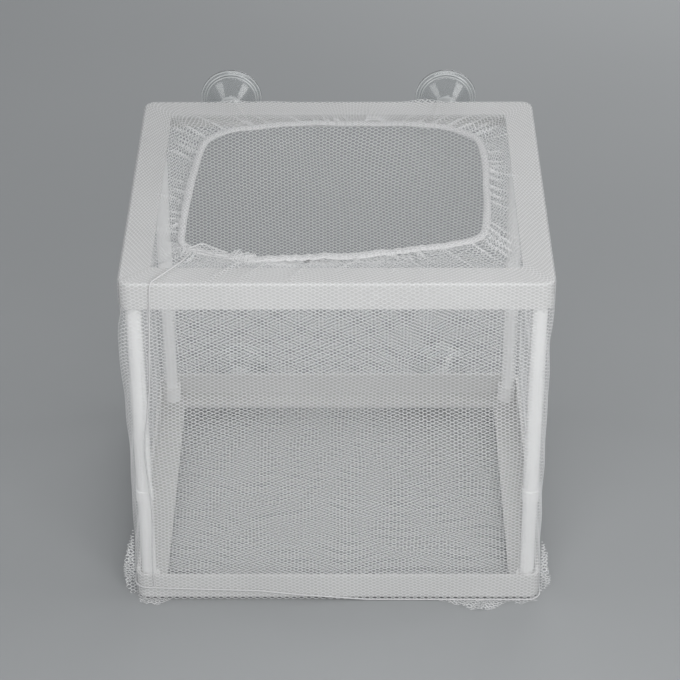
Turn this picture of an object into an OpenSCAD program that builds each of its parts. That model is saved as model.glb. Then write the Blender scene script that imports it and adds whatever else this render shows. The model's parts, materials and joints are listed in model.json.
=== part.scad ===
// Mesh breeding box for an aquarium.
// A sewn net bag is stretched over two moulded frames, which four corner posts hold apart.
// Suction cups on the rear side hold the box to the tank's glass, with its open mouth on top.
// Millimetres, +Z up, +Y towards the glass. The origin lies below the middle of the whole box,
// at the height of the lowest point of the lower cups.

/* [Frames] */
// Width over the frames' outer faces, left to right
frame_w = 170; // [150:1:220]
// Depth over the frames' outer faces, front to rear
frame_d = 153; // [140:1:200]
// Height from the bottom frame's underside to the top frame's upper face
frame_h = 156; // [110:1:200]
// Width of a frame's flat flange
flange_w = 12; // [11:0.5:16]
// Height of a frame's skirt, with the flange's thickness
skirt_h = 11.6; // [11:0.2:16]
// Thickness of the flange and the skirt
wall_t = 1.5; // [1.2:0.1:2]
// Radius of the frames' outer corners, seen from above
corner_r = 4.5; // [3:0.5:7]
// Radius of the edge where flange and skirt meet
edge_r = 0.8; // [0.4:0.1:1.1]
// Radius of the corners of the flange's window
window_r = 1.2; // [0.5:0.1:3]

/* [Corner posts] */
// Outside diameter of an upper post, and of a lower post's plug
upper_post_d = 6.5; // [5.5:0.1:7.5]
// Outside diameter of a lower post
lower_post_d = 6.1; // [5.1:0.1:7]
// Wall of both posts
post_wall = 1.2; // [0.9:0.1:1.4]
// Height of the joint between upper and lower post
post_joint_h = 48.4; // [30:0.2:80]
// Length of the collar at an upper post's lower end
collar_l = 5.6; // [3:0.2:10]
// How far the collar stands proud of its post
collar_t = 0.35; // [0.2:0.05:0.8]
// Length of a lower post's spigot
spigot_l = 10; // [6:0.5:16]
// Wall of a lower post's spigot
spigot_wall = 0.7; // [0.5:0.1:0.9]
// Height of a corner socket, with the flange's thickness
socket_h = 9; // [6:0.2:11]
// Wall of a corner socket
socket_wall = 1.15; // [0.9:0.05:1.5]
// How deep a corner socket is let into the skirt
socket_inset = 0.65; // [0.3:0.05:0.9]
// Radial clearance of a post in its socket and of a spigot in its bore
post_fit = 0.05; // [0.02:0.01:0.1]

/* [Suction cups] */
// Distance from a cup's axis to the frame's outer side
cup_inset = 37; // [25:1:55]
// Diameter of a cup's rim
cup_d = 27.4; // [22:0.2:34]
// Distance from the rear skirt to the plane of the rims
cup_reach = 16; // [14:0.5:20]
// Width of the ringed band inside the rim
cup_band_w = 3.4; // [2:0.2:5]
// Height of one step of the ringed band
cup_step_h = 0.45; // [0.2:0.05:0.6]
// Thickness of the rim
cup_lip_t = 1; // [0.6:0.1:1.5]
// Width of the flat land on the rim
cup_land_w = 1; // [0.6:0.1:1.6]
// Thickness of the bell's skin
cup_skin_t = 1.4; // [1:0.1:2]
// Diameter of the boss that stops against the net
boss_d = 9.6; // [8:0.2:12]
// Length of the boss
boss_l = 4.4; // [3:0.2:6]
// Radius of the boss's front edge
boss_edge_r = 1; // [0.5:0.1:1.5]
// Diameter of the stud on the rear skirt that a cup is pushed on to
stud_d = 6; // [4:0.1:6.6]
// Length of the stud, from the skirt's outer face
stud_l = 5; // [4:0.1:5.4]
// How far the bead at the stud's end stands proud
stud_bead = 0.35; // [0.2:0.05:0.5]
// Length of the bead
stud_bead_l = 2; // [1.6:0.1:2.4]
// Radial clearance of the stud in the cup
stud_fit = 0.05; // [0.02:0.01:0.1]
// Gap between boss and net, and between the stud's end and the bottom of its bore
cup_play = 0.3; // [0.1:0.05:0.5]

/* [Net bag] */
// Thickness of the bag's panels
net_t = 0.5; // [0.3:0.1:1]
// Distance between the openings drawn in the net; the real mesh is about a tenth of it
mesh_pitch = 16; // [12:0.5:20]
// Width of the net left between two openings
mesh_bar = 2; // [1:0.1:4]
// Gap between the bag and the frames
net_gap = 0.2; // [0.1:0.05:0.5]
// Gap between two panels that are sewn together
seam_gap = 0.05; // [0.02:0.01:0.1]
// Distance from the frame's outer side to the middle of the elastic band, left and right
mouth_side = 24; // [20:0.5:40]
// Mean distance from the frame's outer side to the middle of the elastic band, front and rear
mouth_end = 20.5; // [19:0.5:36]
// How far the mouth's middle lies in front of the frame's middle
mouth_shift = 2; // [0:0.5:4]
// How far the mouth's front side runs askew, from its middle to a corner
mouth_askew = 4.5; // [0:0.5:6]
// Squareness of the mouth: 2 is an ellipse, and higher is squarer
mouth_power = 4.2; // [2.5:0.1:6]
// Width of the elastic band
band_w = 3.2; // [2:0.2:5]
// Height of the elastic band
band_h = 2.8; // [2:0.2:4]
// Chamfer along the elastic band's edges
band_chamfer = 0.7; // [0.3:0.1:0.9]
// How far the seam allowances stand out from the bag
seam_w = 4.6; // [2:0.2:6]
// Height of the seam allowance at the left front corner
left_seam_h = 29; // [15:1:60]
// Height of the seam allowance at the right front corner
right_seam_h = 22; // [15:1:60]
// Length of the seam allowance along the front of the floor
floor_seam_l = 56; // [30:1:100]

/* [Hidden] */
$fn = 64;

// A little more than a cut needs, so that no cut ends in a face
eps = 1;

// The corner posts' axes
socket_bore_d = upper_post_d + 2 * post_fit;
socket_d = socket_bore_d + 2 * socket_wall;
post_inset = wall_t - socket_inset + socket_d / 2;
post_x = frame_w / 2 - post_inset;
post_y = frame_d / 2 - post_inset;
upper_bore_d = upper_post_d - 2 * post_wall;
lower_bore_d = lower_post_d - 2 * post_wall;
spigot_d = upper_bore_d - 2 * post_fit;
spigot_bore_d = spigot_d - 2 * spigot_wall;
spigot_root = 1.5;
mouth_chamfer = 0.5;

// The suction cups' axes
cup_x = frame_w / 2 - cup_inset;
cup_z = skirt_h / 2;
net_hole_gap = 0.3;

// The bag's faces
net_in = net_gap;
net_out = net_gap + net_t;
band_ring_n = 64;
mouth_w = frame_w - 2 * mouth_side;
mouth_d = frame_d - 2 * mouth_end;

// The frame's middle stands back from the origin by the difference of what stands out
seat_y = (net_out + seam_w - cup_reach) / 2;
seat_z = max(cup_d / 2 - cup_z, net_out);

// ---------------------------------------------------------------- helpers

// Everything is drawn round the frame's middle and stood on the origin's plane
module placed() {
    translate([0, seat_y, seat_z]) children();
}

// A rectangle about the origin with round corners
module rounded_rect(w, d, r) {
    square([w - 2 * r, d], center = true);
    square([w, d - 2 * r], center = true);
    for (x = [-1, 1], y = [-1, 1])
        translate([x * (w / 2 - r), y * (d / 2 - r)]) circle(r);
}

// The frame's outline, larger all round by grow
module frame_outline(grow) {
    rounded_rect(frame_w + 2 * grow, frame_d + 2 * grow, corner_r + grow);
}

// The sliver that a round edge of radius r takes off a square one
module edge_sliver(r) {
    difference() {
        translate([-r, -r]) square(r + eps);
        translate([-r, -r]) circle(r);
    }
}

// What rounds the flange's outer edge, all round the frame, at z = 0
module edge_cutter() {
    for (side = [0, 1]) rotate([0, 0, side * 180]) {
        translate([frame_w / 2, 0, 0]) straight_cutter(frame_d - 2 * corner_r);
        translate([0, frame_d / 2, 0]) rotate([0, 0, 90]) straight_cutter(frame_w - 2 * corner_r);
    }
    for (x = [-1, 1], y = [-1, 1])
        translate([x * (frame_w / 2 - corner_r), y * (frame_d / 2 - corner_r), 0])
            mirror([x < 0 ? 1 : 0, 0, 0]) mirror([0, y < 0 ? 1 : 0, 0])
                rotate_extrude(angle = 90) translate([corner_r, 0]) mirror([0, 1]) edge_sliver(edge_r);
}

module straight_cutter(len) {
    rotate([90, 0, 0]) translate([0, 0, -len / 2]) linear_extrude(len)
        mirror([0, 1]) edge_sliver(edge_r);
}

// Points of the mouth's outline; the middle of the band lies at grow = 0
function mouth_points(grow) = [
    for (i = [0 : band_ring_n - 1])
        let (
            a = 360 * i / band_ring_n,
            p = 2 / mouth_power,
            across = sign(cos(a)) * pow(abs(cos(a)), p),
            along = sign(sin(a)) * pow(abs(sin(a)), p)
        )
        [
            (mouth_w / 2 + grow) * across,
            (mouth_d / 2 + grow) * along - mouth_shift - mouth_askew * across * min(0, along)
        ]
];

// ---------------------------------------------------------------- frames

// One moulded frame with its flange at z = 0 and its skirt upwards
module frame_moulding() {
    difference() {
        union() {
            difference() {
                linear_extrude(skirt_h) frame_outline(0);
                translate([0, 0, wall_t]) linear_extrude(skirt_h) frame_outline(-wall_t);
            }
            at_corners() cylinder(d = socket_d, h = socket_h);
            for (x = [-cup_x, cup_x])
                translate([x, frame_d / 2, cup_z]) rotate([-90, 0, 0])
                    rotate_extrude() polygon(stud_section());
        }
        translate([0, 0, -eps]) linear_extrude(wall_t + 2 * eps)
            rounded_rect(frame_w - 2 * flange_w, frame_d - 2 * flange_w, window_r);
        at_corners() translate([0, 0, wall_t]) cylinder(d = socket_bore_d, h = skirt_h);
        at_corners() translate([0, 0, socket_h - mouth_chamfer])
            cylinder(d1 = socket_bore_d, d2 = socket_bore_d + 4 * mouth_chamfer, h = 2 * mouth_chamfer);
        edge_cutter();
    }
}

// Half section of a stud: radius outwards, and distance behind the skirt's outer face upwards
function stud_section() = [
    [0, -wall_t / 2], [stud_d / 2, -wall_t / 2],
    [stud_d / 2, stud_l - stud_bead_l],
    [stud_d / 2 + stud_bead, stud_l - stud_bead_l + stud_bead],
    [stud_d / 2 + stud_bead, stud_l - 2 * stud_bead],
    [stud_d / 2 - stud_bead, stud_l], [0, stud_l]
];

module at_corners() {
    for (x = [-post_x, post_x], y = [-post_y, post_y]) translate([x, y, 0]) children();
}

module bottom_frame() {
    color("white") placed() frame_moulding();
}

module top_frame() {
    color("white") placed() translate([0, 0, frame_h]) rotate([0, 180, 0]) frame_moulding();
}

// ---------------------------------------------------------------- posts

// Upper post: a tube from the joint up to the top frame's flange, with a collar below
module upper_post(side, end) {
    length = frame_h - wall_t - post_joint_h;
    color("whitesmoke") placed() translate([side * post_x, end * post_y, post_joint_h])
        difference() {
            union() {
                cylinder(d = upper_post_d, h = length);
                cylinder(d = upper_post_d + 2 * collar_t, h = collar_l - collar_t);
                translate([0, 0, collar_l - collar_t])
                    cylinder(d1 = upper_post_d + 2 * collar_t, d2 = upper_post_d, h = collar_t);
            }
            translate([0, 0, -eps]) cylinder(d = upper_bore_d, h = length + 2 * eps);
        }
}

// Lower post: a plug in the bottom frame's socket, a slimmer tube, and a spigot in the upper post
module lower_post(side, end) {
    length = post_joint_h - wall_t;
    color("whitesmoke") placed() translate([side * post_x, end * post_y, wall_t])
        difference() {
            union() {
                cylinder(d = upper_post_d, h = socket_h - wall_t);
                cylinder(d = lower_post_d, h = length);
                cylinder(d = spigot_d, h = length + spigot_l - mouth_chamfer);
                translate([0, 0, length + spigot_l - mouth_chamfer])
                    cylinder(d1 = spigot_d, d2 = spigot_d - mouth_chamfer, h = mouth_chamfer);
            }
            translate([0, 0, -eps]) cylinder(d = spigot_bore_d, h = length + spigot_l + 2 * eps);
            translate([0, 0, -eps]) cylinder(d = lower_bore_d, h = length - spigot_root + eps);
        }
}

// ---------------------------------------------------------------- suction cups

// Half section of a cup: radius outwards, and distance behind the rear skirt upwards
function cup_section() =
    let (
        bore_r = stud_d / 2 + stud_fit,
        bead_r = bore_r + stud_bead,
        bore_end = stud_l + cup_play,
        boss_face = net_out + cup_play,
        boss_end = boss_face + boss_l,
        rim_r = cup_d / 2,
        band_r = rim_r - cup_band_w,
        step_w = cup_band_w / 3,
        band_end = cup_reach - cup_lip_t,
        band_start = band_end - 3 * cup_step_h,
        cone_r = boss_d / 2,
        crown = boss_end + cup_skin_t
    )
    concat(
        // bore that snaps over the stud and its bead
        [[0, bore_end], [bead_r, bore_end]],
        [[bead_r, stud_l - stud_bead_l + stud_bead], [bore_r, stud_l - stud_bead_l]],
        // boss with a round front edge
        [[bore_r, boss_face]],
        [for (a = [0 : 15 : 90]) [
            cone_r - boss_edge_r + boss_edge_r * sin(a),
            boss_face + boss_edge_r * (1 - cos(a))
        ]],
        [[cone_r, boss_end]],
        // conical bell and the stepped band
        [[band_r, band_start]],
        [for (i = [1 : 3]) each [
            [band_r + (i - 0.35) * step_w, band_start + (i - 1) * cup_step_h],
            [band_r + i * step_w, band_start + i * cup_step_h]
        ]],
        // rim, its land and the hollow
        [[rim_r, cup_reach], [rim_r - cup_land_w, cup_reach]],
        [[band_r, band_start + cup_skin_t * 1.4]],
        [[cone_r * 0.8, crown], [0, crown]]
    );

module suction_cup(side, z) {
    color("gainsboro", 0.6) placed() translate([side * cup_x, frame_d / 2, z])
        rotate([-90, 0, 0]) rotate_extrude() polygon(cup_section());
}

// ---------------------------------------------------------------- net bag

// A plain grid of openings over w by h, with half a bar left along its edges
module mesh_openings(w, h) {
    across = max(1, floor(w / mesh_pitch));
    up = max(1, floor(h / mesh_pitch));
    for (i = [0 : across - 1], j = [0 : up - 1])
        translate([(i + 0.5) * w / across - w / 2, (j + 0.5) * h / up - h / 2])
            square([w / across - mesh_bar, h / up - mesh_bar], center = true);
}

// One flat wall of the bag, from the floor's underside to the collar's upper side. It faces the way
// that the front turned by turn faces, is open as a net between the skirts, and plain over them
module net_wall(turn) {
    faces_end = turn % 180 == 0;
    span = (faces_end ? frame_w : frame_d) - 2 * corner_r;
    away = (faces_end ? frame_d : frame_w) / 2;
    rotate([0, 0, turn]) difference() {
        translate([seam_gap - span / 2, -away - net_out, -net_out])
            cube([span - 2 * seam_gap, net_t, frame_h + 2 * net_out]);
        translate([0, -away, frame_h / 2]) rotate([90, 0, 0])
            linear_extrude(net_out + eps) mesh_openings(span, frame_h - 2 * skirt_h);
    }
}

// The strip of net that bends round a corner post, between two walls
module net_corner(side, end) {
    color("ghostwhite", 0.4) placed()
        translate([side * (frame_w / 2 - corner_r), end * (frame_d / 2 - corner_r), -net_out])
            mirror([side < 0 ? 1 : 0, 0, 0]) mirror([0, end < 0 ? 1 : 0, 0])
                rotate_extrude(angle = 90) translate([corner_r + net_in, 0])
                    square([net_t, frame_h + 2 * net_out]);
}

module net_front() {
    color("ghostwhite", 0.4) placed() net_wall(0);
}

module net_right() {
    color("ghostwhite", 0.4) placed() net_wall(90);
}

module net_rear() {
    color("ghostwhite", 0.4) placed() difference() {
        net_wall(180);
        for (x = [-cup_x, cup_x], z = [cup_z, frame_h - cup_z])
            translate([x, frame_d / 2, z]) rotate([-90, 0, 0])
                cylinder(d = stud_d + 2 * net_hole_gap, h = net_out + eps);
    }
}

module net_left() {
    color("ghostwhite", 0.4) placed() net_wall(270);
}

module net_floor() {
    color("ghostwhite", 0.4) placed() translate([0, 0, -net_out]) linear_extrude(net_t)
        difference() {
            frame_outline(net_in - seam_gap);
            mesh_openings(frame_w - 2 * flange_w, frame_d - 2 * flange_w);
        }
}

// The gathered collar between the top frame's edge and the mouth
module net_top() {
    color("ghostwhite", 0.4) placed() translate([0, 0, frame_h + net_in]) linear_extrude(net_t)
        difference() {
            frame_outline(net_in - seam_gap);
            polygon(mouth_points(band_w / 2 + seam_gap));
        }
}

// The round elastic hem of the mouth
module elastic_band() {
    color("white") placed() translate([0, 0, frame_h + net_in]) {
        band_layer(0, band_chamfer, band_chamfer);
        band_layer(band_chamfer, band_h - 2 * band_chamfer, 0);
        band_layer(band_h - band_chamfer, band_chamfer, band_chamfer);
    }
}

module band_layer(z, height, inset) {
    translate([0, 0, z]) linear_extrude(height) difference() {
        polygon(mouth_points(band_w / 2 - inset));
        polygon(mouth_points(inset - band_w / 2));
    }
}

// A seam allowance that stands out sideways from a front corner, widest near the floor
module corner_seam(side, height) {
    outline = [
        [0, 0], [0.65, 0], [1, 0.23], [0.9, 0.48], [0.15, 1], [0, 1]
    ];
    translate([side * (frame_w / 2 + net_out), seam_gap + net_t - (frame_d / 2 - corner_r), -net_out])
        mirror([side < 0 ? 1 : 0, 0, 0]) rotate([90, 0, 0]) linear_extrude(net_t)
            polygon([for (p = outline) [p[0] * seam_w, p[1] * height]]);
}

module corner_seam_left() {
    color("ghostwhite", 0.4) placed() corner_seam(-1, left_seam_h);
}

module corner_seam_right() {
    color("ghostwhite", 0.4) placed() corner_seam(1, right_seam_h);
}

// The seam allowance along the right half of the floor's front edge
module floor_seam() {
    color("ghostwhite", 0.4) placed()
        translate([frame_w / 2 - corner_r - seam_gap - floor_seam_l, -frame_d / 2 - net_out, -net_out])
            linear_extrude(net_t) polygon([
                [0, 0], [floor_seam_l, 0], [floor_seam_l, -0.8 * seam_w],
                [0.6 * floor_seam_l, -seam_w], [0.15 * floor_seam_l, -0.6 * seam_w]
            ]);
}

// ---------------------------------------------------------------- output

top_frame();
bottom_frame();
upper_post(-1, -1);  // upper_post_front_left
upper_post(1, -1);  // upper_post_front_right
upper_post(-1, 1);  // upper_post_rear_left
upper_post(1, 1);  // upper_post_rear_right
lower_post(-1, -1);  // lower_post_front_left
lower_post(1, -1);  // lower_post_front_right
lower_post(-1, 1);  // lower_post_rear_left
lower_post(1, 1);  // lower_post_rear_right
suction_cup(-1, frame_h - cup_z);  // suction_cup_top_left
suction_cup(1, frame_h - cup_z);  // suction_cup_top_right
suction_cup(-1, cup_z);  // suction_cup_bottom_left
suction_cup(1, cup_z);  // suction_cup_bottom_right
net_front();
net_rear();
net_left();
net_right();
net_floor();
net_top();
net_corner(-1, -1);  // net_corner_front_left
net_corner(1, -1);  // net_corner_front_right
net_corner(-1, 1);  // net_corner_rear_left
net_corner(1, 1);  // net_corner_rear_right
elastic_band();
corner_seam_left();
corner_seam_right();
floor_seam();
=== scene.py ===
# %% [markdown]
# # A net breeding box for an aquarium
#
# The box is a sewn bag of knitted net. Two moulded plastic frames and four corner posts stretch it,
# suction cups behind it hold the tank's glass, and an elastic hem gathers its mouth. The frames and
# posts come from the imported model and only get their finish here. This lesson models what is soft:
# the net with its seams and gathers, the elastic hem and the cups.

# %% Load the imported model
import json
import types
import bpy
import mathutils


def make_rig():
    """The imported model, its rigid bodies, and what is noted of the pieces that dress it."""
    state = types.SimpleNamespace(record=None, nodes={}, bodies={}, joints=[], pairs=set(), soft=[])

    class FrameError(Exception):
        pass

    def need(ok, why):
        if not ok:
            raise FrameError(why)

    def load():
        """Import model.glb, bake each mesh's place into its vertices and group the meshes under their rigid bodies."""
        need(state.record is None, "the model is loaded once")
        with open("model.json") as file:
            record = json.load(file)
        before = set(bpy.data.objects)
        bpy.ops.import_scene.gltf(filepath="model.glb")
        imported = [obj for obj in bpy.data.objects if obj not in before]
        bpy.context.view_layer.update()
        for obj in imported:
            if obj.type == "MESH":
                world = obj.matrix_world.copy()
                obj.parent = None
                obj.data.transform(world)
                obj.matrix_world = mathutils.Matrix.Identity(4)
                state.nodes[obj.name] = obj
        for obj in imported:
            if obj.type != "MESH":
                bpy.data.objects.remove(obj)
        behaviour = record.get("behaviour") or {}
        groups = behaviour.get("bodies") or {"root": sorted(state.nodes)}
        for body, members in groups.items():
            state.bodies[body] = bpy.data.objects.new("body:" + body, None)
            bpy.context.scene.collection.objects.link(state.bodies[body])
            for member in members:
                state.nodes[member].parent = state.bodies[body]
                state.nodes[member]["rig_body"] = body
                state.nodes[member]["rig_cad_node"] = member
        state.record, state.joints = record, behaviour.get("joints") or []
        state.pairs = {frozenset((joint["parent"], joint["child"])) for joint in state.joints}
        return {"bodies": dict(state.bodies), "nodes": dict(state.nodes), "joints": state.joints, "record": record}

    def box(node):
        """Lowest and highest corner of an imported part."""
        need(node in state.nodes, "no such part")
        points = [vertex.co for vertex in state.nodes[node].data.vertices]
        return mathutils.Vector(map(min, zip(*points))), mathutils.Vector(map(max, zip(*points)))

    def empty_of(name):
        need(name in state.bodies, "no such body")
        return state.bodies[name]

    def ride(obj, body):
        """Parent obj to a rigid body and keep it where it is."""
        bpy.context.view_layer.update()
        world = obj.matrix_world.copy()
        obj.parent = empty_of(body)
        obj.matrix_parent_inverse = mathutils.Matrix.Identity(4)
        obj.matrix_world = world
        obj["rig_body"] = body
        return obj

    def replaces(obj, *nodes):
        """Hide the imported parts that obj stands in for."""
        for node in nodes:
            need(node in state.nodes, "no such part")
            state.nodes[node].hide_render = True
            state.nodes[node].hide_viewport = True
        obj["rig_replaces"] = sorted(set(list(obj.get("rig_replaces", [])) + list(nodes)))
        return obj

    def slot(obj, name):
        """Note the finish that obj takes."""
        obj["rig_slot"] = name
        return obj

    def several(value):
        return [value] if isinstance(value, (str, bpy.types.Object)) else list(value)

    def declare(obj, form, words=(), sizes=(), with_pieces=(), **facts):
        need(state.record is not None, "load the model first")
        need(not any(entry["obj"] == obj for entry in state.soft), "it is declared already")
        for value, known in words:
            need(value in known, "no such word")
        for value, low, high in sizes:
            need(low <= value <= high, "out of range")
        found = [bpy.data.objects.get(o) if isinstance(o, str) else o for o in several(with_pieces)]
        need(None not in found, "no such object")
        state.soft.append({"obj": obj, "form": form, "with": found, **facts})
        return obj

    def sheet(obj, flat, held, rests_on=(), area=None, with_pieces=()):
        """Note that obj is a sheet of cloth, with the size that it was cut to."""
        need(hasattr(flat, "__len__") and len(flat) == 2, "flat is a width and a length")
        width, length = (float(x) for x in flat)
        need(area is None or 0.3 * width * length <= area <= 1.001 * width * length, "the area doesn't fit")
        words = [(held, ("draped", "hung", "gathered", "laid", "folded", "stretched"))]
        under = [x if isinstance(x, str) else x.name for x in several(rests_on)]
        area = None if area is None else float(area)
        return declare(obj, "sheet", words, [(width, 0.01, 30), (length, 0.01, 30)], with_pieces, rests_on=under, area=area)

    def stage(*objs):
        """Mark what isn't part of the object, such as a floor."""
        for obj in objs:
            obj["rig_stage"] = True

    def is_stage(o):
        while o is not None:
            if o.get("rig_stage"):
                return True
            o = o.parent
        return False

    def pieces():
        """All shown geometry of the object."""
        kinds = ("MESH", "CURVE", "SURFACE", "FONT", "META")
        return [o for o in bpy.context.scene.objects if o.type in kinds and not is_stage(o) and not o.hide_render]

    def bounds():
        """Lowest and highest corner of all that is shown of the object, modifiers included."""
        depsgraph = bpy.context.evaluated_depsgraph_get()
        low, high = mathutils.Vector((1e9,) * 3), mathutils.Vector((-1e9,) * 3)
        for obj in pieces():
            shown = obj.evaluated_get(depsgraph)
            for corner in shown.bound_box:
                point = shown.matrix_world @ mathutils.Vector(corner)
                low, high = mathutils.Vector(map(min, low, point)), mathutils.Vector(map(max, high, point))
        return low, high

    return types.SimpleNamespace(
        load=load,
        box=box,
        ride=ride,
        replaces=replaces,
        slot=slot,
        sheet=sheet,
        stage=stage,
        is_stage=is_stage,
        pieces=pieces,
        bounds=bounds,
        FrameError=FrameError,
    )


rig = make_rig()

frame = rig.load()
cad_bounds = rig.bounds()

import json
import math

import bpy
import numpy as np
from mathutils import Quaternion, Vector

MM = 0.001
print("nodes loaded:", len(frame["nodes"]))

# %% [markdown]
# Every place in this file is worked out from the frames' own corners, so the bag, the hem and the
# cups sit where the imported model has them.

# %% Measure the frames
bottom_lo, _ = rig.box("bottom_frame")
top_lo, top_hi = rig.box("top_frame")
# the studs for the cups stand out behind the rear skirt
STUD_L = 5 * MM
HALF_W = (top_hi[0] - top_lo[0]) / 2
HALF_D = (top_hi[1] - STUD_L - top_lo[1]) / 2
MID_Y = top_lo[1] + HALF_D
BOTTOM_Z = bottom_lo[2]
TOP_Z = top_hi[2]
BOX_H = TOP_Z - BOTTOM_Z
CORNER_R = 4.5 * MM
FLANGE_W = 12 * MM
# the posts stand in sockets, which are 9 mm high with the flange
post_lo, post_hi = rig.box("lower_post_front_right")
POST_X = (post_lo[0] + post_hi[0]) / 2
POST_Y = MID_Y - (post_lo[1] + post_hi[1]) / 2
SOCKET_MID_Z = BOTTOM_Z + 5.2 * MM
print(f"frame {2000 * HALF_W:.1f} x {2000 * HALF_D:.1f} x {1000 * BOX_H:.1f} mm")

# %% [markdown]
# ## Camera
#
# The camera stands far off and looks down on the open mouth. A long lens keeps the box's sides
# nearly upright, and a touch of roll and shift puts the corners where the view needs them.

# %% Place the camera
VIEW_DISTANCE = 1010.46 * MM
VIEW_ELEVATION = math.radians(33.19)
VIEW_YAW = math.radians(0.412)
VIEW_ROLL = math.radians(-0.259)
VIEW_LENS_MM = 123.68
VIEW_SHIFT = (0.00275, 0.0067)

view_target = Vector((0, MID_Y, BOTTOM_Z + BOX_H / 2))
view_back = Vector((
    math.sin(VIEW_YAW) * math.cos(VIEW_ELEVATION),
    -math.cos(VIEW_YAW) * math.cos(VIEW_ELEVATION),
    math.sin(VIEW_ELEVATION),
))


def new_object(name, data):
    """Puts a new camera, lamp, curve or mesh in the scene."""
    obj = bpy.data.objects.new(name, data)
    bpy.context.scene.collection.objects.link(obj)
    return obj


camera = new_object("camera", bpy.data.cameras.new("camera"))
camera.data.sensor_width = 36
camera.data.lens = VIEW_LENS_MM
camera.data.shift_x, camera.data.shift_y = VIEW_SHIFT
camera.location = view_target + VIEW_DISTANCE * view_back
camera.rotation_mode = "QUATERNION"
look = (-view_back).to_track_quat("-Z", "Y")
camera.rotation_quaternion = look @ Quaternion((0, 0, 1), VIEW_ROLL)
bpy.context.scene.camera = camera
bpy.context.scene.view_settings.view_transform = "Standard"
print("camera at", [round(x, 3) for x in camera.location])

# %% [markdown]
# ## Small tools
#
# The steps below repeat a few moves: select one object, take its points as a numpy array and put
# them back, copy a mesh to its place, run operators in edit mode, turn a hex colour to linear light,
# and add a shader node.


# %% Helpers for modelling
def select_only(obj):
    """Selects one object and makes it active, so that operators act on it alone."""
    bpy.ops.object.select_all(action="DESELECT")
    obj.select_set(True)
    bpy.context.view_layer.objects.active = obj


def points_of(obj):
    """The mesh's points as rows of x, y, z."""
    flat = np.empty(len(obj.data.vertices) * 3, np.float32)
    obj.data.vertices.foreach_get("co", flat)
    return flat.reshape(-1, 3).astype(float)


def move_points(obj, points):
    """Puts every point of the mesh where points says."""
    obj.data.vertices.foreach_set("co", np.asarray(points, np.float32).ravel())
    obj.data.update()


def apply_place(obj):
    """Moves the object's place, turn and scale into its mesh."""
    select_only(obj)
    bpy.ops.object.transform_apply(location=True, rotation=True, scale=True)


def copy_of(mesh, name, place=(0, 0, 0)):
    """A new object at a place, with its own copy of a mesh."""
    obj = new_object(name, mesh.copy())
    obj.data.name = name
    obj.location = place
    apply_place(obj)
    return obj


def apply_modifier(obj, kind, **settings):
    """Adds one modifier with its settings and applies it."""
    select_only(obj)
    modifier = obj.modifiers.new(kind.lower(), kind)
    for key, value in settings.items():
        setattr(modifier, key, value)
    bpy.ops.object.modifier_apply(modifier=modifier.name)


def edit(obj, *steps):
    """Runs each step with all of the object selected in edit mode."""
    select_only(obj)
    bpy.ops.object.mode_set(mode="EDIT")
    bpy.ops.mesh.select_all(action="SELECT")
    for step in steps:
        step()
    bpy.ops.object.mode_set(mode="OBJECT")


# %% Helpers for finishes
def linear(hex_colour):
    """An sRGB hex colour as linear light."""
    parts = [int(hex_colour[i:i + 2], 16) / 255 for i in (1, 3, 5)]
    light = [c / 12.92 if c <= 0.04045 else ((c + 0.055) / 1.055) ** 2.4 for c in parts]
    return (*light, 1)


def new_material(name):
    """An empty node material, its Principled shader, and Object coordinates for its patterns."""
    material = bpy.data.materials.new(name)
    material.use_nodes = True
    place = add_node(material, "TexCoord", {}).outputs["Object"]
    return material, material.node_tree.nodes["Principled BSDF"], place


def set_node(node, inputs, **fields):
    """Sets a node's fields and its inputs by name or number: to a value, or linked to a socket."""
    for field, value in fields.items():
        setattr(node, field, value)
    for key, value in inputs.items():
        if isinstance(value, bpy.types.NodeSocket):
            node.id_data.links.new(value, node.inputs[key])
        else:
            node.inputs[key].default_value = value
    return node


def add_node(material, kind, inputs, **fields):
    """Adds a shader node of one kind with its inputs and fields."""
    return set_node(material.node_tree.nodes.new("ShaderNode" + kind), inputs, **fields)


def two_tones(material, place, size, detail, first, second):
    """A noise with lumps of one size, in metres, and two hex colours mixed by it."""
    noise = add_node(material, "TexNoise", {"Vector": place, "Scale": 1 / size, "Detail": detail})
    mixed = add_node(material, "Mix", {
        "Factor": noise.outputs["Fac"], "A": linear(first), "B": linear(second),
    }, data_type="RGBA")
    return noise.outputs["Fac"], mixed.outputs["Result"]


# %% [markdown]
# ## Moulded plastic
#
# The frames are injection moulded polypropylene: white, faintly warm, satin, with the long flow
# waves of thin walls and a fine spark-eroded grain. The posts are extruded polystyrene, harder and
# glossier, with faint draw lines along them. A little colour noise keeps both from looking like
# computer plastic. The frames' corner sockets hold more plastic than the thin walls, so more light
# comes back out of them. A mask round the sockets' middles paints that light into their colour,
# mixing it towards white: a painted glow.


# %% Frame plastic
# how far round a socket's middle the plastic is heaviest and the painted glow is full, and where the mask has faded
# out
GLOW_FULL_R = 4.5 * MM
GLOW_GONE_R = 5.3 * MM
# a socket is taller than it is wide, so a distance in Z counts about a third
SOCKET_SQUASH = (1, 1, 0.35)


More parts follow.
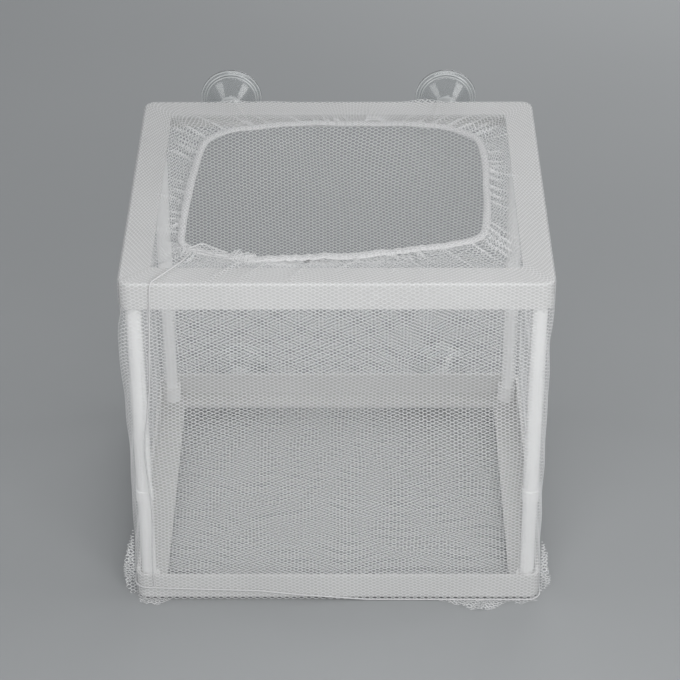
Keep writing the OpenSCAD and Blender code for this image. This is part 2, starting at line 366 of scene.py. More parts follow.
def frame_plastic():
    """Injection moulded polypropylene: satin, with a little light from within, a painted glow round the sockets, and a
    little uneven in tone.
    """
    material, shader, place = new_material("Moulded_polypropylene")
    # flow waves about 25 mm long and a grain of half a millimetre, coarser than the real one to show
    waves, thin = two_tones(material, place, 25 * MM, 2.0, "#CBCBCA", "#D5D5D4")
    grain = add_node(material, "TexNoise", {
        "Vector": place, "Scale": 1 / (0.526 * MM), "Detail": 1.0,
    })
    # the four sockets are alike about the middle, so one distance serves them all
    middle = add_node(material, "Mapping", {"Vector": place, "Location": (0, -MID_Y, 0)})
    corner = add_node(material, "VectorMath", {0: middle.outputs[0]}, operation="ABSOLUTE")
    from_socket = add_node(material, "VectorMath", {
        0: corner.outputs[0], 1: (POST_X, POST_Y, SOCKET_MID_Z),
    }, operation="SUBTRACT")
    upright = add_node(material, "VectorMath", {
        0: from_socket.outputs[0], 1: SOCKET_SQUASH,
    }, operation="MULTIPLY")
    away = add_node(material, "VectorMath", {0: upright.outputs[0]}, operation="LENGTH")
    # the mask of the painted glow: 1 round the sockets' middles, fading to 0 on the thin walls
    socket_glow = add_node(material, "MapRange", {
        "Value": away.outputs["Value"], "From Min": GLOW_FULL_R, "From Max": GLOW_GONE_R,
        "To Min": 1.0, "To Max": 0.0,
    })
    # painted glow: round the sockets the colour is mixed towards white, for the light that comes back out of the
    # heavier plastic
    tone = add_node(material, "Mix", {
        "Factor": socket_glow.outputs["Result"], "A": thin, "B": linear("#F2F2F1"),
    }, data_type="RGBA")
    rough = add_node(material, "MapRange", {"Value": waves, "To Min": 0.38, "To Max": 0.52})
    bump = add_node(material, "Bump", {
        "Height": grain.outputs["Fac"], "Strength": 0.12, "Distance": 0.1 * MM,
    })
    set_node(shader, {
        "Base Color": tone.outputs["Result"], "Roughness": rough.outputs["Result"],
        "Normal": bump.outputs["Normal"], "IOR": 1.49, "Subsurface Weight": 0.12,
        "Subsurface Radius": (1.0, 1.0, 0.95), "Subsurface Scale": 1.2 * MM,
    })
    return material


# %% Post plastic
def post_plastic():
    """Extruded polystyrene: harder and glossier, with faint draw lines."""
    material, shader, place = new_material("Extruded_polystyrene")
    # the lines run along the tube, about 1.1 mm apart and 45 mm long
    across, along = 1 / (1.11 * MM), 1 / (45.5 * MM)
    stretch = add_node(material, "Mapping", {"Vector": place, "Scale": (across, across, along)})
    lines, tone = two_tones(material, stretch.outputs[0], 1.0, 2.0, "#F3F3F2", "#FAFAF9")
    rough = add_node(material, "MapRange", {"Value": lines, "To Min": 0.24, "To Max": 0.36})
    bump = add_node(material, "Bump", {"Height": lines, "Strength": 0.1, "Distance": 0.1 * MM})
    set_node(shader, {
        "Base Color": tone, "Roughness": rough.outputs["Result"],
        "Normal": bump.outputs["Normal"], "IOR": 1.59,
    })
    return material


# %% Dress the frames and posts
plastics = {"_frame": frame_plastic(), "_post_": post_plastic()}
dressed = [
    (node, plastic) for name, node in frame["nodes"].items()
    for part, plastic in plastics.items() if part in name
]
for node, plastic in dressed:
    node.data.materials.clear()
    node.data.materials.append(plastic)
    select_only(node)
    bpy.ops.object.shade_smooth_by_angle(angle=math.radians(30))
print("plastic on", len(dressed), "pieces")

# %% [markdown]
# ## The net's cell
#
# The bag is knitted from fine nylon yarn. Its holes have six sides, but short flat ones and long
# slanted ones, and the flat strands are thicker, because there the yarns loop through each other.
# Each cell starts as a six-sided disc of that shape. Insetting it by half a yarn and deleting the
# middle leaves a ring, and sinking the inner edge makes the yarn a small ridge, which has height when
# it is seen along the cloth. Two rings, half a cell apart, are the tile that an Array repeats in both
# directions. The cloth is then as real netting is: one flat piece, before it is cut and sewn.

# %% Make one tile
CELL_H = 1.62 * MM
COLUMN_W = 1.55 * MM
FLAT_STRAND = 0.7 * MM
# the real yarn is about 0.15 mm thick, and drawn a little coarser so that it shows
YARN_W = 0.2 * MM
YARN_RISE = 0.07 * MM
# the hole is this much shorter along the columns, which leaves thicker yarn where the loops meet
LOOP_SHARE = 0.925


# one ring of yarn about a six-sided hole
bpy.ops.object.select_all(action="DESELECT")
bpy.ops.mesh.primitive_circle_add(
    vertices=6, radius=1, fill_type="NGON", rotation=(0, 0, math.pi / 6)
)
cell = bpy.context.active_object
apply_place(cell)
corner = points_of(cell)
ends = np.abs(corner[:, 1]) < 0.1
side = np.sign(corner[:, 0])
corner[:, 0] = side * np.where(ends, COLUMN_W - FLAT_STRAND / 2, FLAT_STRAND / 2)
corner[:, 1] = np.where(ends, 0, np.sign(corner[:, 1]) * CELL_H / 2)
move_points(cell, corner)
edit(
    cell,
    lambda: bpy.ops.mesh.inset(thickness=YARN_W / 2, depth=-YARN_RISE),
    lambda: bpy.ops.transform.resize(value=(1, LOOP_SHARE, 1)),
    lambda: bpy.ops.mesh.delete(type="FACE"),
)
# the tile is this cell and a copy of it, half a cell on
second = copy_of(cell.data, "second_cell", (COLUMN_W, CELL_H / 2, 0))
select_only(cell)
second.select_set(True)
bpy.ops.object.join()
tile = cell.data
bpy.data.objects.remove(cell)
print("a tile of two rings has", len(tile.polygons), "faces")


# %% Knit a flat piece of net
def knit(name, columns, rows):
    """A flat piece of net. Column c and row r have their cell at c * COLUMN_W, r * CELL_H."""
    net = copy_of(tile, name)
    for count, step in (((columns + 1) // 2, (2 * COLUMN_W, 0, 0)), (rows, (0, CELL_H, 0))):
        apply_modifier(
            net, "ARRAY", count=count, use_relative_offset=False, use_constant_offset=True,
            constant_offset_displace=step,
        )
    edit(net, lambda: bpy.ops.mesh.remove_doubles(threshold=YARN_W / 10))
    return net


sample = knit("sample", 4, 3)
print("a piece of 4 by 3 cells has", len(sample.data.polygons), "faces")
bpy.data.objects.remove(sample)


# %% Cut a piece of net
def cut_away(obj, outside):
    """Deletes the faces whose middle outside(points) picks, as scissors would."""
    faces = obj.data.polygons
    middles = np.empty(len(faces) * 3, np.float32)
    faces.foreach_get("center", middles)
    chosen = outside(middles.reshape(-1, 3).astype(float))
    edit(
        obj,
        lambda: bpy.ops.mesh.select_mode(type="FACE"),
        lambda: bpy.ops.mesh.select_all(action="DESELECT"),
    )
    obj.data.polygons.foreach_set("select", chosen)
    bpy.ops.object.mode_set(mode="EDIT")
    bpy.ops.mesh.delete(type="FACE")
    bpy.ops.mesh.select_mode(type="VERT")
    bpy.ops.object.mode_set(mode="OBJECT")


# %% [markdown]
# ## The bag's shape
#
# The net wraps round the frames as one strip: up the walls, over the top frame's edge, and inwards to
# the hem. A place on the strip has two lengths: how far it is round the box from the left front
# corner, and how far it is above the floor seam. Working with these two lengths lets every panel keep
# the same rows of cells where it meets the next one.

# %% Round the box
NET_GAP = 0.38 * MM
BAG_HALF_W = HALF_W + NET_GAP
BAG_HALF_D = HALF_D + NET_GAP
BAG_R = CORNER_R + NET_GAP
BAG_TOP = TOP_Z + NET_GAP
BAG_BOTTOM = BOTTOM_Z - NET_GAP
FRONT_L = 2 * (BAG_HALF_W - BAG_R)
SIDE_L = 2 * (BAG_HALF_D - BAG_R)
ARC_L = BAG_R * math.pi / 2
ROUND_L = 2 * (FRONT_L + SIDE_L) + 4 * ARC_L


def rim_point(round_at):
    """Where the strip stands at a length round the box: x, y and the outward direction's x, y."""
    at = np.mod(round_at, ROUND_L)
    x, y, nx, ny = np.zeros((4, *at.shape))
    start = 0.0
    for i, (sx, sy) in enumerate(((1, -1), (1, 1), (-1, 1), (-1, -1))):
        # from the start of each side: straight up to the corner, and then round it
        on = at >= start
        start += SIDE_L if i % 2 else FRONT_L
        straight, bend = np.minimum(at[on] - start, 0), np.maximum(at[on] - start, 0)
        facing = math.radians(90 * i - 90)
        nx[on], ny[on] = np.cos(facing + bend / BAG_R), np.sin(facing + bend / BAG_R)
        x[on] = sx * (BAG_HALF_W - BAG_R) + BAG_R * nx[on] - straight * math.sin(facing)
        y[on] = sy * (BAG_HALF_D - BAG_R) + BAG_R * ny[on] + straight * math.cos(facing)
        start += ARC_L
    return x, y, nx, ny


def in_frame(x, y, z):
    """Rows of x, y, z in the model's frame, from a y that counts from the box's middle."""
    return np.stack([x, y + MID_Y, z], axis=1)


print(f"the strip is {1000 * ROUND_L:.0f} mm long")

# %% [markdown]
# The hem's outline is a squarish oval, a little in front of the middle, and its front side runs
# askew, as a hand-sewn elastic pulls it. A few points give its middle line, and a smooth closed curve
# goes through them. The strip's four corners are led to the hem's four corners, and between them the
# net is gathered evenly.

# %% Round the mouth
HEM_R = 1.5 * MM
HEM_Z = TOP_Z + 1.6 * MM
hem_points = MM * np.array([
    (-60.4, -50.5), (-47.0, -57.0), (-28.0, -60.3), (-4.0, -58.7), (22.0, -55.2), (44.0, -50.0),
    (57.4, -43.0), (60.6, -26.0), (61.3, -4.0), (61.8, 20.0), (58.6, 39.5), (45.5, 49.3),
    (24.0, 52.5), (0.0, 53.1), (-24.0, 51.8), (-45.5, 46.8), (-56.2, 36.0), (-59.6, 14.0),
    (-61.2, -10.0), (-61.9, -34.0),
])


def smooth(before, start, end, beyond, t):
    """Points at t, from 0 to 1, between start and end on a smooth (Catmull-Rom) curve."""
    return 0.5 * (
        2 * start + (end - before) * t + (2 * before - 5 * start + 4 * end - beyond) * t ** 2
        + (3 * start - before - 3 * end + beyond) * t ** 3
    )


def run_along(line):
    """How far each point of a line lies along it."""
    return np.concatenate([[0], np.cumsum(np.linalg.norm(np.diff(line, axis=0), axis=1))])


neighbours = [np.roll(hem_points, shift, 0) for shift in (1, 0, -1, -2)]
HEM_FINENESS = 24
mouth_line = np.stack([smooth(*neighbours, t) for t in np.arange(HEM_FINENESS) / HEM_FINENESS], axis=1)
mouth_line = mouth_line.reshape(-1, 2)
mouth_line = np.concatenate([mouth_line, mouth_line[:1]])
mouth_run = run_along(mouth_line)
MOUTH_L = mouth_run[-1]


def mouth_point(share):
    """The hem's middle at a share from 0 to 1 of its length: x and y."""
    run = np.mod(share, 1) * MOUTH_L
    return np.interp(run, mouth_run, mouth_line[:, 0]), np.interp(run, mouth_run, mouth_line[:, 1])


strip_corners = [
    -ARC_L / 2, FRONT_L + ARC_L / 2, FRONT_L + SIDE_L + 1.5 * ARC_L,
    2 * FRONT_L + SIDE_L + 2.5 * ARC_L, ROUND_L - ARC_L / 2,
]
corner_turns = [(-1, -1), (1, -1), (1, 1), (-1, 1)]
mouth_corners = [mouth_run[np.argmax(mouth_line @ turn)] / MOUTH_L for turn in corner_turns]
mouth_corners[0] -= round(mouth_corners[0])
mouth_corners.append(mouth_corners[0] + 1)


def share_at(u):
    """The share of the hem's length that belongs to a place round the box."""
    return np.interp(np.mod(u + ARC_L / 2, ROUND_L) - ARC_L / 2, strip_corners, mouth_corners)


print(f"the strip's {1000 * ROUND_L:.0f} mm are gathered into {1000 * MOUTH_L:.0f} mm of elastic")
print("the hem's corners lie at", [round(float(c), 3) for c in mouth_corners])

# %% [markdown]
# Real netting is never flat or true. Slow waves a few centimetres long, made by adding a few sines
# that do not repeat together, move it off its plane and let its rows wander within it. The gathers at
# the hem are shorter waves. Where the net is pushed together they also crowd its columns, and those
# crowded columns are the bright streaks that run out from an elastic.

# %% Waves and gathers
def slow_waves(u, v, seed):
    """A smooth unrepeating value of about -1 to 1 over the strip; u and v in metres."""
    total = np.zeros_like(u)
    for k, (wave, turn) in enumerate(((0.061, 0.3), (0.037, 1.9), (0.024, 4.1), (0.049, 2.6))):
        angle = seed * 1.7 + turn + k
        total += np.sin(2 * np.pi * (u * math.cos(angle) + v * math.sin(angle)) / wave + 3.1 * k + seed)
    return total / 2.2


def bell(x, middle, width):
    """A smooth bump of height 1."""
    return np.exp(-((x - middle) / width) ** 2)


def ramp(x, steepness, late=0.0):
    """Rises evenly from 0 to 1: steepness times x, less late."""
    return np.clip(steepness * x - late, 0, 1)


def soft(x):
    """Turns an even ramp from 0 to 1 into one that starts and ends gently."""
    return x * x * (3 - 2 * x)


metre = slow_waves(np.linspace(0, 1, 1000), np.zeros(1000), 0.0)
print(f"over a metre the slow waves go from {metre.min():.2f} to {metre.max():.2f}")


# %% Rows and places on the strip
def from_corner(u):
    """How far a place lies round the box from the left front corner, below 0 on the left side."""
    return np.mod(u + ROUND_L / 2, ROUND_L) - ROUND_L / 2


def from_edge(x, y):
    """How far a place lies inside the frames' outline; its y counts from the box's middle."""
    return np.minimum(HALF_W - np.abs(x), HALF_D - np.abs(y))


PLEAT_W = 11.5 * MM


def pleat_phase(u):
    """How many pleats lie before u; their width wanders between about 8 and 17 mm."""
    return u / PLEAT_W + 0.55 * np.sin(2 * np.pi * u / 0.083) + 0.35 * np.sin(2 * np.pi * u / 0.047 + 2)


TURN_R = 0.8 * MM + NET_GAP
WALL_L = BOX_H + 2 * NET_GAP - TURN_R
TURN_L = TURN_R * math.pi / 2
WALL_ROWS = math.floor((WALL_L + TURN_L) / CELL_H)
COLLAR_ROWS = 21
FIRST_ROW = CELL_H / 2
COLLAR_START = FIRST_ROW + WALL_ROWS * CELL_H
COLLAR_L = (COLLAR_ROWS - 0.5) * CELL_H
print("rows in the walls:", WALL_ROWS, "and in the collar:", COLLAR_ROWS)


# %% Slack in the walls
def corner_fold(u, v):
    """The loose fold at the left front corner, which swells out below the tight top."""
    near = bell(from_corner(u), -ARC_L / 2, 13 * MM)
    return near * (1.9 * MM * bell(v, 124 * MM, 17 * MM) - 1.2 * MM * bell(v, 141 * MM, 5 * MM))


# the skirts hold this share of the height at each end, and the net comes free over the next share
HELD_SHARE = 0.075
FREE_SHARE = 0.12
# how far the net is drawn in between the skirts, how much more on the right, and how it waves there
DRAWN_IN = 0.5 * MM
DRAWN_IN_RIGHT = 0.5 * MM
WALL_WAVE = 0.3 * MM


def wall_slack(u, v):
    """How far a wall stands off its flat plane: drawn in a little between the skirts."""
    height = np.clip(v / BOX_H, 0, 1)
    below = np.clip((height - HELD_SHARE) / FREE_SHARE, 0, 1)
    above = np.clip((1 - HELD_SHARE - height) / FREE_SHARE, 0, 1)
    on_right = bell(np.mod(u, ROUND_L), FRONT_L + SIDE_L / 2, 75 * MM)
    slack = WALL_WAVE * slow_waves(u, v, 1.0) - DRAWN_IN - DRAWN_IN_RIGHT * on_right
    return soft(below * above) * slack + corner_fold(u, v)


# lumps in the top frame's rear edge: x, half width and height in millimetres
rear_lumps = ((38, 6, 1.4), (-46, 5, 0.9), (-30, 6, 0.4))


def rear_lift(u, v):
    """How far the net stands off the top frame's rear edge, where the cups push it up."""
    x = FRONT_L + SIDE_L + 2 * ARC_L + FRONT_L / 2 - np.mod(u, ROUND_L)
    lift = sum(height * MM * bell(x, middle * MM, width * MM) for middle, width, height in rear_lumps)
    return lift * bell(v, WALL_L + TURN_L, 4 * MM)


# %% Folds in the collar
# folds pulled by hand: x, y of their outer and inner ends, in millimetres
folds = MM * np.array([
    (-48.1, -72.5, -37.9, -61.3), (-35.5, -71.6, -28.5, -63.2), (-18.9, -75.3, -8.0, -57.1),
    (1.8, -66.1, 8.7, -59.5), (22.3, -66.5, 17.5, -58.1), (21.6, -66.5, 24.5, -58.6),
    (32.5, -66.5, 27.9, -57.1), (54.4, -67.3, 48.0, -59.4),
    (-45.6, 74.5, -37.9, 54.0), (-73.5, 30.6, -63.5, 25.5), (-73.5, 52.0, -60.5, 41.5),
    (-73.0, -8.0, -63.0, -12.0), (73.0, 44.0, 60.5, 40.0), (73.5, 8.0, 63.0, 12.0),
    (44.0, 74.0, 41.0, 53.5), (14.0, 66.0, 12.0, 54.5), (-72.0, -36.0, -63.5, -33.0),
])
FOLD_W = 2.2 * MM
FOLD_H = 0.9 * MM


def pull_to_folds(x, y, strength):
    """Draws the net together towards each fold: its crowded yarns are the bright streaks."""
    ridge = np.zeros_like(x)
    for x1, y1, x2, y2 in folds:
        length = math.hypot(x2 - x1, y2 - y1)
        ex, ey = (x2 - x1) / length, (y2 - y1) / length
        along = ((x - x1) * ex + (y - y1) * ey) / length
        away = (x - x1) * -ey + (y - y1) * ex
        near = bell(away, 0, FOLD_W) * np.clip(3 * along + 1, 0, 1) * np.clip(4 - 3 * along, 0, 1)
        x, y = x + ey * away * near * strength, y - ex * away * near * strength
        ridge = np.maximum(ridge, FOLD_H * bell(away, 0, FOLD_W / 2) * near)
    return x, y, ridge


# how far columns and rows wander, and how far above the floor's seam they are free to
COLUMN_WANDER = 0.7 * MM
ROW_WANDER = 0.9 * MM
SEWN_L = 14 * MM


def wandering(u, v):
    """The same place on the strip, moved within the cloth: its rows and columns are not true."""
    loose = np.clip(v / SEWN_L, 0, 1)
    du = COLUMN_WANDER * slow_waves(u * 0.6, v * 0.6, 7.0)
    dv = ROW_WANDER * slow_waves(u * 0.5, v * 0.5, 11.0)
    return u + du * loose, v + dv * loose * np.clip((COLLAR_START - v) / (10 * MM), 0, 1)


# %% Pull to the left front corner
# how far the hem is pulled along, as a share of its length, at places round the box
twists = [
    (0, 0), (32 * MM, -0.034), (100 * MM, -0.006), (FRONT_L, 0.004), (250 * MM, 0.014),
    (330 * MM, 0.004), (420 * MM, -0.008), (510 * MM, 0.006), (570 * MM, 0.026),
    (ROUND_L - 28 * MM, 0.026), (ROUND_L, 0),
]


def twist_at(u):
    """The hem is drawn towards its sewn corner, so the cells of the collar lean that way."""
    return np.interp(np.mod(u, ROUND_L), *zip(*twists))


def tautness(u):
    """Nearly 1 beside the left front corner, where the pull has smoothed the gathers."""
    return bell(from_corner(u), 38 * MM, 24 * MM)


# %% Place on the strip to place in the room
# how high the collar's pleats, ripples and crumples stand, and how far it sags in the window
PLEAT_H = 1.3 * MM
RIPPLE_H = 0.5 * MM
PINCH = 0.3 * MM
SAG = 0.5 * MM


def bag_points(u, v, lift):
    """The points of the bag at u round the box and v up the strip, lift outside its surface."""
    u, v = wandering(u, v)
    over = WALL_L + TURN_L
    # t runs from 0 at the frame's edge to 1 at the hem, where the gathers crowd the columns
    t = np.clip((v - over) / (COLLAR_START + COLLAR_L - over), 0, 1)
    phase = 2 * np.pi * pleat_phase(u)
    crowd = (1.5 + 0.5 * np.sin(phase / 5 + 1)) * ramp(t, 3, 1.45)
    u = u - crowd * PLEAT_W / (2 * np.pi) * np.sin(phase)
    x, y, nx, ny = rim_point(u)
    # up the wall and round the top frame's edge
    turn = np.clip((v - WALL_L) / TURN_L, 0, 1) * math.pi / 2
    slack = np.where(v > WALL_L, 0, wall_slack(u, v))
    out = -TURN_R * (1 - np.cos(turn)) + slack + lift * np.cos(turn)
    z = BAG_BOTTOM + np.minimum(v, WALL_L) + TURN_R * np.sin(turn) + lift * np.sin(turn)
    px, py = x + nx * out, y + ny * out
    # in over the flange to the hem, a little twisted, the rows drawn closer where there is less room
    mx, my = mouth_point(share_at(u) + twist_at(u) * t)
    reach = np.maximum(np.hypot(px - mx, py - my), MM / 1000)
    draw = np.clip(1.1 * COLLAR_L / reach, 1, 2.1)
    inward = np.maximum(reach - HEM_R * 0.5, 0) / reach * (1 - (1 - t) ** draw)
    cx, cy = px + (mx - px) * inward, py + (my - py) * inward
    taut = tautness(u)
    pinch = PINCH * ramp(t, 3, 1.5) * (1 - 0.9 * taut)
    cx = cx + pinch * slow_waves(u * 7, v * 7, 21.0)
    cy = cy + pinch * slow_waves(u * 7, v * 7, 27.0)
    cx, cy, ridge = pull_to_folds(cx, cy, 0.94 * ramp(t, 4))
    # the collar lies on the flange and hangs free in the window
    off_flange = np.clip((from_edge(cx, cy) - FLANGE_W + 0.5 * MM) / (6 * MM), 0, 1)
    pleat = PLEAT_H * np.cos(phase + 0.6 * np.sin(phase)) * ramp(t, 2.4, 0.8) * (1 - 0.75 * taut)
    ripple = RIPPLE_H * slow_waves(u, v, 4.0) * ramp(t, 4) * (1 - 0.7 * taut)
    lying = 0.3 * np.abs(pleat) + 0.4 * np.maximum(ripple, 0)
    hanging = 0.8 * pleat + ripple - SAG * np.sin(np.pi * t) * np.clip(1 - cy / (60 * MM), 0, 1)
    rise = lying + off_flange * (hanging - lying) + ramp(t, 1.2, 0.2) ** 2 * (HEM_Z - BAG_TOP) + ridge
    cz = z + np.where(t > 0, rise, 0) + rear_lift(u, v)
    return in_frame(cx, cy, cz)


# %% [markdown]
# ## Nylon net
#
# The yarn is bright white nylon, semi-dull, with a soft sheen. One yarn is a few tenths of a
# millimetre at most, thinner than a pixel of most pictures, so its finish is a slight change of tone
# from loop to loop and a soft sheen rather than a weave of its own.


# %% Net material
def nylon_net():
    """Knitted nylon yarn: bright, semi-dull, with a soft sheen and light coming through it."""
    material, shader, place = new_material("Knitted_nylon_net")
    # loops about 1.4 mm apart, over a slow drift of 33 mm
    loops = add_node(material, "TexNoise", {
        "Vector": place, "Scale": 1 / (1.43 * MM), "Detail": 1.0,
    })
    drift = add_node(material, "TexNoise", {
        "Vector": place, "Scale": 1 / (33.3 * MM), "Detail": 2.0,
    })
    both = add_node(material, "Math", {
        0: loops.outputs["Fac"], 1: drift.outputs["Fac"],
    }, operation="MULTIPLY")
    tone = add_node(material, "Mix", {
        "Factor": both.outputs[0], "A": linear("#F5F5F5"), "B": linear("#FDFDFD"),
    }, data_type="RGBA")
    set_node(shader, {
        "Base Color": tone.outputs["Result"], "Roughness": 0.5, "IOR": 1.53,
        "Sheen Weight": 0.15, "Sheen Roughness": 0.4,
    })
    # thin nylon lets part of the light through, so the far side of a yarn glows as well
    glow = add_node(material, "BsdfTranslucent", {"Color": tone.outputs["Result"]})
    mixed = add_node(material, "MixShader", {
        "Fac": 0.2, 1: shader.outputs["BSDF"], 2: glow.outputs["BSDF"],
    })
    set_node(material.node_tree.nodes["Material Output"], {"Surface": mixed.outputs["Shader"]})
    return material


net_material = nylon_net()


# %% [markdown]
# ## Walls
#
# Each wall is knitted flat, and then every point moves to its place on the bag. A wall starts at the
# column nearest a corner's middle, so the four walls share the corners' round, and their rows meet.
# A net is mostly holes, so the area of its cloth is that of its yarn, measured before it is bent.
# Bending draws the cells together in places, but a yarn can't get thinner: there its inner edge goes
# back to its own distance from the outer edge, and the hole closes instead.


# %% Helpers for cloth
def cut_size(obj, width, length):
    """The flat size of a net, and the area of its faces in square metres."""
    return {"flat": (width, length), "area": sum(face.area for face in obj.data.polygons)}


def dress(obj, material, slot):
    """Smooths a soft piece, gives it its finish and lets it ride on the box."""
    select_only(obj)
    bpy.ops.object.shade_smooth()
    obj.data.materials.append(material)
    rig.ride(obj, "box")
    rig.slot(obj, slot)


# a yarn's ridge is never drawn out by more than this, however the net is crowded
MOST_WIDER = 4


def keep_yarn(net, flat):
    """Closes the holes where the net is pushed together, because its yarn keeps its thickness."""
    points = points_of(net)
    ends = np.empty(len(net.data.edges) * 2, np.int32)
    net.data.edges.foreach_get("vertices", ends)
    ends = ends.reshape(-1, 2)
    # a yarn's inner edge is sunk, and a spoke joins each of its points to the outer edge
    sunk = flat[:, 2] < -YARN_RISE / 2
    spokes = ends[sunk[ends[:, 0]] != sunk[ends[:, 1]]]
    turned = sunk[spokes[:, 1]]
    spokes[turned] = spokes[turned, ::-1]
    inner, outer = spokes.T
    length = np.linalg.norm(flat[inner] - flat[outer], axis=1)
    spoke = points[inner] - points[outer]
    wider = np.clip(length / np.linalg.norm(spoke, axis=1), 1, MOST_WIDER)
    points[inner] = points[outer] + spoke * wider[:, None]
    move_points(net, points)


sheets = []
trims = {}


def finish_net(obj, size, held, rests_on):
    """Dresses a net and notes its cut size, declared further down with the seams sewn on it."""
    dress(obj, net_material, "net")
    sheets.append({"obj": obj, "held": held, "rests_on": rests_on, **size})


def sew_on(obj, material, sewn_to):
    """Dresses a small piece and notes the sheet that it is sewn to."""
    dress(obj, material, "net")
    trims.setdefault(sewn_to, []).append(obj)


def knit_strip(name, first, last, start, rows):
    """Net for the strip from column first to last, rows rows up from start, bent to the bag."""
    net = knit(name, last - first, rows)
    size = cut_size(net, (last - first) * COLUMN_W, rows * CELL_H)
    flat = points_of(net)
    move_points(net, bag_points(flat[:, 0] + first * COLUMN_W, flat[:, 1] + start, flat[:, 2]))
    keep_yarn(net, flat)
    return net, size


# %% Sew up the walls
def even_column(length):
    """The even column nearest to a length round the box."""
    return 2 * round(length / COLUMN_W / 2)


wall_edges = [even_column(corner) for corner in strip_corners]
walls = {}
for side, first, last in zip(("front", "right", "rear", "left"), wall_edges, wall_edges[1:]):
    wall, size = knit_strip("bag_" + side, first, last, FIRST_ROW, WALL_ROWS)
    walls[side] = wall
    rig.replaces(wall, "net_" + side)
    if side in ("front", "rear"):
        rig.replaces(wall, f"net_corner_{side}_left", f"net_corner_{side}_right")
    finish_net(wall, size, "stretched", ["bottom_frame", "top_frame"])
    print(side, "wall:", last - first, "columns,", len(wall.data.polygons) * 2, "triangles")

# %% [markdown]
# The cups' studs poke through the rear wall. The knitter's holes are too small for them, so the yarn
# is cut there, and the cup's boss covers the cut.

# %% Cut the rear wall for the studs
STUD_R = 3 * MM
CUT_GAP = 0.3 * MM
cup_axes = {}
for row in ("top", "bottom"):
    for side in ("left", "right"):
        lo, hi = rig.box(f"suction_cup_{row}_{side}")
        cup_axes[f"{row}_{side}"] = ((lo[0] + hi[0]) / 2, (lo[2] + hi[2]) / 2)


def at_a_stud(p):
    """True where a stud passes through the rear wall."""
    near = np.zeros(len(p), bool)
    for x, z in cup_axes.values():
        near |= np.hypot(p[:, 0] - x, p[:, 2] - z) < STUD_R + CUT_GAP
    return near


cut_away(walls["rear"], at_a_stud)
print("studs at", [(round(1000 * x, 1), round(1000 * z, 1)) for x, z in cup_axes.values()])

# %% [markdown]
# ## Collar
#
# Above the walls the same strip turns over the top frame's edge and is gathered on to the elastic.
# Its rows go on from the walls' rows, so the net is not cut at the frame.

# %% Gather the collar
collar, size = knit_strip(
    "gathered_collar", wall_edges[0], wall_edges[4], COLLAR_START, COLLAR_ROWS
)
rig.replaces(collar, "net_top")
finish_net(collar, size, "gathered", ["top_frame"])
print("collar:", len(collar.data.polygons) * 2, "triangles")

# %% [markdown]
# ## Floor
#
# The floor is a panel of its own, sewn to the walls all round. It lies under the bottom frame and
# hangs a little slack in the frame's window.

# %% Stretch the floor
floor_columns = 2 * math.ceil(BAG_HALF_W / COLUMN_W)
floor_rows = 2 * math.ceil(BAG_HALF_D / CELL_H)
floor_net = knit("bag_floor", floor_columns, floor_rows)
flat = points_of(floor_net)
move_points(floor_net, flat - (floor_columns * COLUMN_W / 2, floor_rows * CELL_H / 2, 0))


def off_the_floor(p):
    """True beyond the floor's outline with its round corners."""
    dx = np.maximum(np.abs(p[:, 0]) - (BAG_HALF_W - BAG_R), 0)
    dy = np.maximum(np.abs(p[:, 1]) - (BAG_HALF_D - BAG_R), 0)
    return np.hypot(dx, dy) > BAG_R


cut_away(floor_net, off_the_floor)
size = cut_size(floor_net, 2 * BAG_HALF_W, 2 * BAG_HALF_D)
fx, fy, fz = points_of(floor_net).T
inside = from_edge(fx, fy)
sag = np.clip((inside - FLANGE_W) / (30 * MM), 0, 1) * (SAG + 0.7 * MM * slow_waves(fx, fy, 3.0))
loose = 0.5 * MM * np.clip(inside / (20 * MM), 0, 1)
move_points(floor_net, in_frame(
    fx + loose * slow_waves(fx, fy, 8.0),
    fy + loose * slow_waves(fx, fy, 13.0),
    BAG_BOTTOM - fz - np.maximum(sag, -0.1 * MM),
))
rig.replaces(floor_net, "net_floor")
finish_net(floor_net, size, "stretched", ["bottom_frame"])
print("floor:", len(floor_net.data.polygons) * 2, "triangles")

# %% [markdown]
# ## Elastic hem
#
# A flat elastic runs in the net's casing round the mouth. A torus has the right parts, a ring and a
# round section, and its points then follow the mouth's outline. Small cross ribs, as knitted tape
# has, are in the material.

# %% Knitted elastic material
def knitted_elastic():
    """Knitted elastic tape: matt, a little greyer than the net, and finely ribbed."""
    material, shader, place = new_material("Knitted_elastic")
    # ribs 0.7 mm apart, as coarse as they need to be to show, and an 11 mm drift of the tone
    ribs = add_node(material, "TexNoise", {
        "Vector": place, "Scale": 1 / (0.714 * MM), "Detail": 2.0,
    })
    _, tone = two_tones(material, place, 11.1 * MM, 2.0, "#C6C6C6", "#D6D6D6")
    bump = add_node(material, "Bump", {
        "Height": ribs.outputs["Fac"], "Strength": 0.5, "Distance": 0.3 * MM,
    })
    set_node(shader, {
        "Base Color": tone, "Normal": bump.outputs["Normal"],
        "Roughness": 0.75, "IOR": 1.5, "Sheen Weight": 0.2,
    })
    return material


# %% The hem's surface
HEM_STEPS = 360
HEM_SIDES = 16
# the tape's half width and half height as shares of HEM_R, how far both vary along it, and how much
# wider it is in front
TAPE_WIDTH = 0.94
TAPE_HEIGHT = 0.52
TAPE_VARIES = 0.06
WIDER_IN_FRONT = 0.16
# how high it waves in long and in short waves, and how high its stitches pucker it in front
LONG_WAVE = 0.2 * MM
SHORT_WAVE = 0.12 * MM
PUCKER = 0.35 * MM


def sines(share, times, late=0.0):
    """A wave that runs a whole number of times round the mouth."""
    return np.sin(2 * np.pi * times * share + late)


